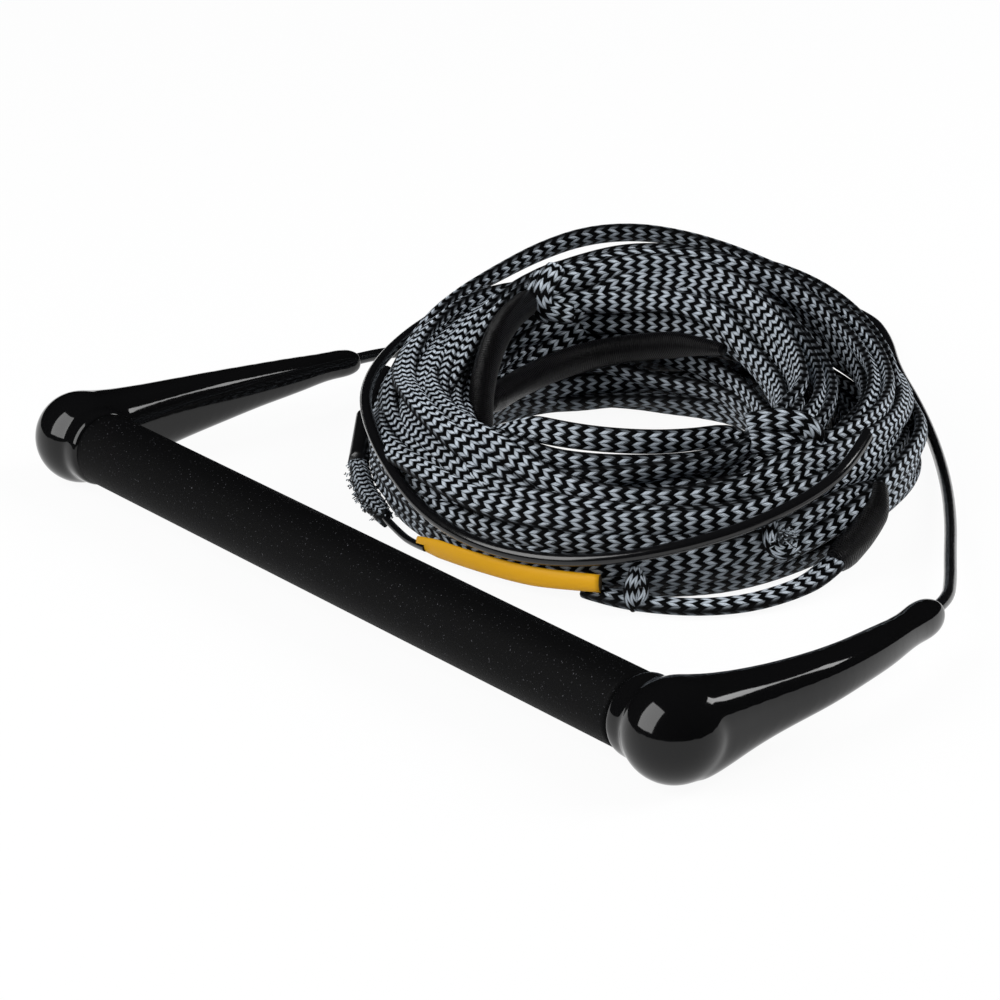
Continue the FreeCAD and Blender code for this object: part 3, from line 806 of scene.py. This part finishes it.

# %% [markdown]
# ## Colour and relief of the yarns
# Each float is a low hump with fine threads along it. Its grey is painted darker where the hump is
# low and in the fine lines between the threads: painted shade between the yarns. A random number
# for each float makes some greyer than others, as real yarns are. The rope's two narrow edges fade
# to black as painted shade, where turns that lie close shade each other, and the dark edge lets the
# eye tell one turn from the next.

# %% Braid material
def braid_finish():
    material, nodes, links, shader = new_material("rope_braid_finish", (0.1, 0.1, 0.1), 0.6)
    shader.inputs["Specular IOR Level"].default_value = 0.07
    m = lambda operation, first, second=None: math_node(nodes, links, operation, first, second)
    around, column, offset, phase = braid_floats(nodes, links, m)
    wave = m("SINE", m("MULTIPLY", phase, 2 * math.pi))
    off_middle = m("ABSOLUTE", m("MULTIPLY", offset, 2.0))
    border = m("MULTIPLY", m("POWER", off_middle, 4.0), 0.75)
    grey = drawn_out(nodes, links, m("SUBTRACT", wave, border), -0.28, 0.02, soft=True)
    end = m("SUBTRACT", 1.0, m("POWER", off_middle, 3.0))
    hump = m("MULTIPLY", m("POWER", m("ABSOLUTE", wave), 0.55), m("POWER", m("MAXIMUM", end, 0.0), 0.5))
    threads = m("SINE", m("MULTIPLY", phase, 2 * math.pi * threads_in_yarn))
    add_relief(nodes, links, shader, m("ADD", hump, m("MULTIPLY", threads, 0.14)), 1.0, 0.75)
    each_float = nodes.new("ShaderNodeCombineXYZ")
    links.new(m("FLOOR", phase), each_float.inputs[0])
    links.new(column, each_float.inputs[1])
    chance = nodes.new("ShaderNodeTexWhiteNoise")
    links.new(each_float.outputs[0], chance.inputs["Vector"])
    # The grey is painted darker where the float's hump is low and between its threads: painted shade between
    # the yarns. The white noise gives each float its own real tone.
    shade = m("ADD", m("MULTIPLY", hump, 0.62), m("MULTIPLY", chance.outputs["Value"], 0.26))
    shade = m("ADD", shade, m("MULTIPLY", threads, 0.16))
    shade = m("MINIMUM", m("MAXIMUM", shade, 0.0), 1.0)
    grey_yarn = colour_between(nodes, links, shade, grey_yarn_shade, grey_yarn_light)
    yarn = colour_between(nodes, links, grey, black_yarn, grey_yarn)
    # Painted shade: the rope's two narrow edges fade to black where neighbouring turns lie close.
    painted_edge_shade = m("ABSOLUTE", m("SINE", m("MULTIPLY", around, 2 * math.pi / braid_columns)))
    painted_edge_shade = drawn_out(nodes, links, painted_edge_shade, 0.12, 0.66, 0.03, 1.0, soft=True)
    links.new(colour_between(nodes, links, painted_edge_shade, black_yarn, yarn), shader.inputs["Base Color"])
    return material


rope_finish = braid_finish()
rope.data.materials.append(rope_finish)
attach(rope, "root")
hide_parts("rope_coil")
print("finish", rope_finish.name)

# %% [markdown]
# ## Thread-wrapped sleeves
# Where the rope is folded into a loop, its two parts are bound with black thread. The binding is
# a snug round sleeve that tapers at its ends. Winding a real thread round it would take many
# thousands of faces for ribs a millimetre apart, so the ribs are relief: a sine wave along the
# sleeve, with noise that lets the thread wander and a second noise, drawn out along the sleeve,
# for the creases where it was pulled tight.

# %% Thread wrap material
def wrap_finish():
    material, nodes, links, shader = new_material("thread_wrap_finish", (0.0030, 0.0028, 0.0032), 0.36)
    shader.inputs["Specular IOR Level"].default_value = 0.26
    m = lambda operation, first, second=None: math_node(nodes, links, operation, first, second)
    uv, along, _ = skin_map(nodes, links)
    turn = m("ADD", along, m("MULTIPLY", noise_node(nodes, links, 240), 0.9))
    ribs = m("SINE", m("MULTIPLY", turn, 2 * math.pi))
    stretch = nodes.new("ShaderNodeMapping")
    stretch.inputs["Scale"].default_value = (0.12, 9.0, 1.0)
    links.new(uv, stretch.inputs["Vector"])
    creases = noise_node(nodes, links, 1.0, 2, stretch.outputs[0])
    add_relief(nodes, links, shader, m("ADD", m("MULTIPLY", ribs, 0.5), creases), 0.7, 0.7)
    return material


wrap_black = wrap_finish()
print("finish", wrap_black.name)

# %% Sleeves
def level_sides(points):
    """A level direction square to the route, for sleeves that are round anyway."""
    ahead = unit(np.gradient(points, axis=0))
    return unit(np.cross(ahead, np.array([0.02, 0.03, 1.0])))


def along_row(row, places, values):
    """A size that changes along a row, from its values at shares of the row's length."""
    along = distances(row)
    return np.interp(along / along[-1], places, values) * mm


sleeves = {
    "loop_sleeve_back": (inner_wall([
        (161, 7.8, 25), (149, 8.6, 24), (137, 8.8, 24), (125, 8.7, 24.6), (113, 8, 26), (101, 7.3, 27.6),
        (89, 7, 29.6), (77, 7.2, 32), (65, 8, 35), (54, 8.0, 37.5), (45, 7.0, 39), (37, 4.0, 40)]),
        ([0, 0.05, 0.5, 0.8, 1], [9, 12, 12.6, 11.5, 5]), ([0, 0.05, 0.6, 1], [8, 11, 11, 6])),
    "loop_sleeve_left": (inner_wall([
        (196, 7, 12), (184, 7, 24), (172, 7.2, 36), (160, 7.7, 45), (148, 6.9, 50.5), (136, 4.5, 53),
        (125, 0.5, 54), (118, -4.0, 54)]),
        ([0, 0.1, 0.6, 0.9, 1], [9, 11.5, 12.6, 11.5, 7]), ([0, 0.1, 0.9, 1], [9, 10.5, 10.5, 6])),
    "loop_sleeve_right": (outer_wall([
        (321, 1.0, 29), (319, 4, 24), (316, 4.6, 19), (311, 4.8, 12.4), (306, 5.2, 8.4)]),
        ([0, 0.35, 0.8, 0.95, 1], [9, 12.4, 13.6, 11, 8]), ([0, 0.3, 0.9, 1], [7, 11.5, 11, 7.5])),
}
for node, (controls, (wide_at, wide), (thick_at, thick)) in sleeves.items():
    row = route_points(node, controls, 1.0 * mm)
    sleeve = flat_tube(node + "_wrap", row, level_sides(row), along_row(row, thick_at, thick),
                       along_row(row, wide_at, wide), 28, 1.0 * mm, 1)
    sleeve.data.materials.append(wrap_black)
    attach(sleeve, "root")
    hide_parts(node)
    print(sleeve.name, "length", round(distances(row)[-1], 3))

# %% [markdown]
# ## Tow eye
# A loop of rope comes out of the right sleeve, swings out over the floor and goes back under the
# coil. It is where the rope is hooked to the boat. It has the rope's skin and finish, but it lies
# alone, so a few given control points are enough, and its flat side simply lies level.

# %% Tow eye
eye_row = route_points("tow_eye_route", outer_wall([
    (306, 5.2, 8.4), (301, 8.2, 5.4), (294, 11.5, 4.6), (286, 13.0, 3.4), (278, 11.8, 3.1),
    (270, 8.2, 3.1), (262, 3.0, 3.1), (256, -3.0, 3.3)]), 2.0 * mm)
eye = flat_tube("tow_eye_rope", eye_row, level_sides(eye_row), 10.4 * mm, 6.0 * mm, 16,
                braid_repeat, braid_columns)
eye.data.materials.append(rope_finish)
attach(eye, "root")
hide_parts("tow_eye")
print("tow eye", round(distances(eye_row)[-1], 3), "m")

# %% [markdown]
# ## Knots and hitches
# The folded rope is caught by small hitches, and its cut ends are knotted so that they can't slip
# back. A knot could be tied as one long path, but only its front is seen, and crossings are hard to
# steer that way. So each is drawn as what shows of it, short bands of the same rope that cross.
# Their small paths are given as the camera sees them: so far right, so far up, so far forward. At
# a cut end the yarn comes loose, and a fan of thin bent fibres stands for it.

# %% Small paths seen from the camera
level_right = np.array([math.cos(coil_turned), math.sin(coil_turned), 0])
to_camera = -np.array(look)
view_up = np.cross(to_camera, level_right)


def facing(points, place):
    """A small path given as right, up and towards the camera, in millimetres from its place."""
    points = np.array(points, float) * mm
    return place + points[:, :1] * level_right + points[:, 1:2] * view_up + points[:, 2:] * to_camera


def join_pieces(name, pieces):
    """One object from several meshes that were made in the same frame."""
    with bpy.context.temp_override(active_object=pieces[0], selected_editable_objects=pieces):
        bpy.ops.object.join()
    pieces[0].name = name
    return pieces[0]


print("knot helpers ready")

# %% Loose yarn ends
def yarn_finish():
    material, nodes, links, shader = new_material("yarn_ends_finish", (0.1, 0.1, 0.1), 0.6)
    each = nodes.new("ShaderNodeNewGeometry")
    grey = drawn_out(nodes, links, each.outputs["Random Per Island"], 0.45, 0.75)
    tone = colour_between(nodes, links, grey, (0.004, 0.004, 0.005), (0.36, 0.40, 0.44))
    links.new(tone, shader.inputs["Base Color"])
    return material


yarn_ends = yarn_finish()


def fibres(name, place, heading, count, reach, seed):
    """Loose yarn ends that fan out from a cut end of the rope."""
    rng = np.random.default_rng(seed)
    strands = []
    for _ in range(count):
        aim = np.array(heading, float) + rng.normal(0, 0.55, 3)
        aim = aim / np.linalg.norm(aim)
        long = reach * rng.uniform(0.5, 1.0)
        t = np.linspace(0, 1, 6)[:, None]
        sag = np.array([[0, -1.0, 0.2]]) * (long * 0.35) * t ** 2
        path = facing(rng.normal(0, 0.9, 3) + aim * long * t + sag + rng.normal(0, 0.25, (6, 3)) * t, place)
        strands.append(flat_tube(name, path, level_sides(path), 0.55 * mm, 0.45 * mm, 4, 1 * mm, 1))
        strands[-1].data.materials.append(yarn_ends)
    return strands


print("finish", yarn_ends.name)

# %% Knots
knots = {
    "back_hitch": (inner_wall([(116.5, 3.2, 58.3)])[0], 8.8, 5.2, [
        [(3, 9, -5), (2, 7, 0), (-1, 3, 3), (-3, -2, 4), (-2, -7, 3), (3, -10, 1), (10, -10, -2)],
        [(-2, 6, -3), (-5, 1, 1), (-6, -5, 1), (-3, -9, 0), (0, -10, -3)]], None),
    "front_hitch": (outer_wall([(309, -26, 53.5)])[0], 9.0, 4.6, [
        [(-17, 1, -3), (-10, 3, 0), (-2, 3, 1), (5, 1, 1), (9, -4, 0), (7, -8, -3)],
        [(-16, -6, -3), (-10, -6, 0), (-3, -6, 1), (3, -8, 0), (6, -10, -3)]], None),
    "front_end_knot": (outer_wall([(265.5, 6.2, 8.6)])[0], 5.6, 3.6, [
        [(1, 7, -4), (0.6, 5, 0), (-1, 2, 2), (-1.4, -2, 2.6), (-0.6, -5, 2), (1, -6.4, 0)],
        [(2, 4, -1), (3.2, 1, 1.6), (3, -3, 2), (0.6, -5, 1)]], ((0.3, 1.0, 0.3), 14, 4.0)),
    "middle_end_knot": (outer_wall([(294, 5.2, 24)])[0], 6.0, 3.8, [
        [(-4, 6, -3), (-5, 2, 1), (-4.6, -2, 2), (-1.6, -5, 2.2), (2.4, -5, 1), (5, -1.4, -1)]],
        ((0.5, 0.7, 0.5), 60, 7.5)),
}
knot_pieces = []
for node, (place, width, thickness, paths, fray) in knots.items():
    parts = []
    for path in paths:
        row = route_points(node, facing(path, place), 0.8 * mm)
        sides = np.cross(unit(np.gradient(row, axis=0)), to_camera)
        band = flat_tube(node + "_rope", row, sides, width * mm, thickness * mm, 16,
                         braid_repeat, braid_columns)
        band.data.materials.append(rope_finish)
        parts.append(band)
    if fray:
        heading, count, reach = fray
        parts += fibres(node + "_yarn", place, heading, count, reach, len(knot_pieces))
    piece = join_pieces(node + "_rope", parts)
    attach(piece, "root")
    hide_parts(node)
    knot_pieces.append(piece)
    print(piece.name, "faces", len(piece.data.polygons))

# %% [markdown]
# ## The handle line's tail
# Beside the coil's left end a short stub of the coated line goes into a shrink sleeve. The frayed
# end that comes out of it is bound in a lumpy whipping with short yarn ends standing off it, and
# a thin tail runs on to a yellow tag. The lumps are random widths along the tube, which is quicker
# than sculpting and easy to change.

# %% Stub, tail and shrink sleeve
stub_controls = outer_wall([(158, 4.2, 28.5), (164, 4.6, 24), (170, 5.6, 18)])
tail_controls = outer_wall([(204, 4.0, 4.7), (209, 3.2, 3.2), (214, 3, 2.6), (219, 3, 4.0)])
tail_diameter = 3.0 * mm
stub = round_line("stub_line_line", stub_controls, line_diameter, coated_black)
tail = round_line("tail_line_line", tail_controls, tail_diameter, coated_black)
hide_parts("stub_line")
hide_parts("tail_line")

shrink_finish, shrink_nodes, shrink_links, shrink_shader = new_material(
    "shrink_sleeve_finish", (0.0035, 0.0035, 0.004), 0.30)
uneven_gloss(shrink_nodes, shrink_links, shrink_shader, 400, 0.24, 0.36)
shrink_ends = outer_wall([(170, 5.6, 18), (181, 6.4, 8)])
shrink_row = shrink_ends[0] + np.linspace(0, 1, 13)[:, None] * (shrink_ends[1] - shrink_ends[0])
shrink_diameter = 8.6 * mm
shrink = flat_tube("shrink_sleeve_tube", shrink_row, level_sides(shrink_row), shrink_diameter,
                   shrink_diameter, 20, 2 * mm, 1)
shrink.data.materials.append(shrink_finish)
print("shrink sleeve length", round(distances(shrink_row)[-1], 3))

# %% Whipping
whip_controls = outer_wall([(181, 6.4, 8), (188, 5.6, 5.2), (196, 4.8, 4.8), (204, 4.0, 4.7)])
whip_row = route_points("whipping", whip_controls, 1.2 * mm)
whip_rng = np.random.default_rng(9)
lumps = np.interp(np.linspace(0, 1, len(whip_row)), np.linspace(0, 1, 10), whip_rng.uniform(6.2, 9.4, 10))
lumps[-3:] = [6.0, 5.0, 3.6]
whip_core = flat_tube("end_whipping_wrap", whip_row, level_sides(whip_row), lumps * mm,
                      lumps[::-1] * 0.9 * mm, 18, braid_repeat * 0.7, braid_columns)
whip_core.data.materials.append(rope_finish)
whip_parts = [whip_core]
for k in range(1, len(whip_row) - 3):
    for turned in 2.4 * k + np.array([0, 1.3, 2.6, 3.9, 5.2]):
        out = math.cos(turned) * level_right + math.sin(turned) * to_camera
        spot = whip_row[k] + lumps[k] * 0.46 * mm * out
        whip_parts += fibres("end_whipping_yarn", spot, (0.9 * math.cos(turned), -0.7, 0.2), 3, 1.3, 7 * k)
whipping = join_pieces("end_whipping_wrap", whip_parts)
print("whipping lumps", lumps.min().round(1), "to", lumps.max().round(1), "mm")

for piece, node, slot in ((shrink, "shrink_sleeve", "shrink_tube"),
                          (whipping, "end_whipping", "whipping_thread")):
    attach(piece, "root")
    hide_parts(node)
for line, length, thick, carried in ((stub, 0.032, line_diameter, [shrink, whipping]),
                                     (tail, 0.036, tail_diameter, [])):
    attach(line, "root")
print("tail pieces", stub.name, shrink.name, whipping.name, tail.name)

# %% [markdown]
# ## Yellow tag
# A strip of yellow vinyl is folded round the line's end into a flat sleeve. Folding a sheet would
# need a simulation for a piece that hardly bends, so it is the same flat tube as the rope, growing
# wider from the line towards its open end, with soft waves in its skin. A second short tube in a
# dark colour is painted shade: it stands for the shadowed inside of the open mouth.

# %% Tag material
def vinyl_finish():
    material, nodes, links, shader = new_material("tag_finish", (0.72, 0.36, 0.006), 0.42)
    shader.inputs["Specular IOR Level"].default_value = 0.2
    whole = nodes.new("ShaderNodeTexCoord").outputs["Generated"]
    add_relief(nodes, links, shader, noise_node(nodes, links, 120, place=whole), 0.25, 0.6)
    return material


# The mouth's dark brown is painted shade, the shadow inside the open sleeve.
mouth_painted_shade, inside_nodes, inside_links, inside_shader = new_material(
    "tag_mouth_painted_shade", (0.05, 0.028, 0.003), 0.8)
uneven_gloss(inside_nodes, inside_links, inside_shader, 300, 0.7, 0.9)
print("finish", mouth_painted_shade.name)

# %% Tag
tag_controls = outer_wall([(216.5, 2.8, 4.6), (223, 2.4, 6.2), (231, 2.2, 7.0), (243, 2.6, 7.4),
                           (251, 2.8, 8.2), (259, 3.2, 9.0)])
tag_row = route_points("tag", tag_controls, 2.0 * mm)
up = np.tile(np.array([0, 0, 1.0]), (len(tag_row), 1))
tag_width = along_row(tag_row, [0, 0.15, 0.7, 1], [5.0, 7.6, 8.0, 7.2])
tag_thickness = along_row(tag_row, [0, 0.15, 0.7, 1], [2.2, 2.8, 3.4, 4.4])
tag_skin = flat_tube("tag_sleeve_vinyl", tag_row, up, tag_width, tag_thickness, 24, 5 * mm, 1)
tag_skin.data.materials.append(vinyl_finish())
# A dark tube just inside the open end: painted shade for the inside of the mouth.
mouth_row = tag_row[-1] + np.array([[-3.0], [0.25]]) * mm * unit(tag_row[-1] - tag_row[-2])
tag_mouth = flat_tube("tag_mouth", mouth_row, up[:2], 6.8 * mm, 3.2 * mm, 24, 5 * mm, 1)
tag_mouth.data.materials.append(mouth_painted_shade)
tag = join_pieces("tag_sleeve_vinyl", [tag_skin, tag_mouth])
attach(tag, "root")
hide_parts("tag_sleeve")
print("tag length", round(distances(tag_row)[-1], 3))

# %% [markdown]
# ## Grip
# The grip is a foam sleeve with a fine suede-like skin. It is a plain round tube, so all of its
# looks come from the finish: matte black, a fine nap as relief, and specks of pale lint where a
# fine noise is at its highest. Real fur would be the other way, but suede's nap is far too short
# to show as hairs.

# %% Grip
def suede_finish():
    suede_black = (0.0022, 0.0022, 0.0024)
    material, nodes, links, shader = new_material("grip_suede_finish", suede_black, 0.6)
    shader.inputs["Specular IOR Level"].default_value = 0.05
    add_relief(nodes, links, shader, noise_node(nodes, links, 900, 4), 0.5, 0.3)
    lint = drawn_out(nodes, links, noise_node(nodes, links, 1400), 0.68, 0.80)
    tone = colour_between(nodes, links, lint, suede_black, (0.10, 0.10, 0.11))
    links.new(tone, shader.inputs["Base Color"])
    return material


bar_y, bar_z = -64.5 * mm, 19.0 * mm
grip_half, grip_diameter, grip_rings = 170.6 * mm, 29.2 * mm, 120
grip_row = np.stack([np.linspace(-grip_half, grip_half, grip_rings), np.full(grip_rings, bar_y),
                     np.full(grip_rings, bar_z)], 1)
grip = flat_tube("grip_cover_suede", grip_row, np.tile([0, 1.0, 0], (grip_rings, 1)), grip_diameter,
                 grip_diameter, 64, 10 * mm, 1)
grip.data.materials.append(suede_finish())
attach(grip, "root")
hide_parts("grip_cover")
print("grip faces", len(grip.data.polygons))

# %% [markdown]
# ## Moulded end caps
# Each cap is one glossy moulding, so its arm grows out of the ball with no edge between them. The
# model's facets would show in such a gloss, and a subdivision surface needs a tidy cage that the
# model hasn't got. So a copy is rebuilt from small voxels and smoothed, which also rounds the
# seams as a mould does.

# %% End caps
cap_finish, cap_nodes, cap_links, cap_shader = new_material("cap_gloss_finish", (0.003, 0.003, 0.0032), 0.07)
cap_shader.inputs["Specular IOR Level"].default_value = 0.32
uneven_gloss(cap_nodes, cap_links, cap_shader, 60, 0.06, 0.08)
for node in ("left_end_cap", "right_end_cap"):
    copy = bpy.data.objects.new(node + "_rough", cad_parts[node].data.copy())
    scene.collection.objects.link(copy)
    remesh = copy.modifiers.new("voxels", "REMESH")
    remesh.mode = "VOXEL"
    remesh.voxel_size = 0.9 * mm
    smooth = copy.modifiers.new("soften", "SMOOTH")
    smooth.factor = 0.5
    smooth.iterations = 45
    bpy.context.view_layer.update()
    mesh = bpy.data.meshes.new_from_object(copy.evaluated_get(bpy.context.evaluated_depsgraph_get()))
    bpy.data.objects.remove(copy)
    mesh.materials.clear()
    mesh.materials.append(cap_finish)
    mesh.polygons.foreach_set("use_smooth", [True] * len(mesh.polygons))
    cap = bpy.data.objects.new(node + "_gloss", mesh)
    scene.collection.objects.link(cap)
    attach(cap, "root")
    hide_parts(node)
    print(cap.name, "faces", len(mesh.polygons))

# %% [markdown]
# ## Pieces kept from the model
# The tube, its plugs, the foam, the core line and the yoke have the right shape already, so they
# stay as they are and only get a finish: fine lines along the tube, grain in the plugs, small cells
# in the foam, a twisted lay on the core line and the line's own plastic coat on the yoke. Each is
# made from one noise pattern, stretched or scaled to suit.

# %% Finishes of the kept pieces
def grained_finish(name, dark, light, roughness, scale, stretch, depth):
    """A two-tone finish with relief from one noise pattern; stretch draws it out along an axis."""
    material, nodes, links, shader = new_material(name, dark, roughness)
    drawn = nodes.new("ShaderNodeMapping")
    drawn.inputs["Scale"].default_value = stretch
    links.new(nodes.new("ShaderNodeTexCoord").outputs["Object"], drawn.inputs["Vector"])
    grain = noise_node(nodes, links, scale, 4, drawn.outputs[0])
    links.new(colour_between(nodes, links, grain, dark, light), shader.inputs["Base Color"])
    add_relief(nodes, links, shader, grain, 0.5, depth)
    return material


tube_metal = grained_finish("tube_drawn_metal", (0.42, 0.43, 0.44), (0.60, 0.61, 0.62), 0.34, 900,
                            (0.02, 1, 1), 0.05)
tube_metal.node_tree.nodes["Principled BSDF"].inputs["Metallic"].default_value = 1.0
plug_plastic = grained_finish("plug_plastic", (0.008, 0.008, 0.009), (0.016, 0.016, 0.017), 0.5, 700,
                              (1, 1, 1), 0.05)
foam_cells = grained_finish("foam_cells", (0.006, 0.006, 0.006), (0.03, 0.03, 0.03), 0.9, 1100,
                            (1, 1, 1), 0.3)
core_braid = grained_finish("core_line_lay", (0.30, 0.31, 0.32), (0.55, 0.56, 0.58), 0.8, 700,
                            (0.3, 1, 1), 0.2)
kept = {"bar_core": tube_metal, "left_bar_plug": plug_plastic, "right_bar_plug": plug_plastic,
        "grip_foam": foam_cells, "bridle_core_line": core_braid, "bridle_yoke": coated_black}
for node, finish in kept.items():
    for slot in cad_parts[node].material_slots:
        slot.material = finish
    print(node, "finish", finish.name, "slots", len(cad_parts[node].material_slots))
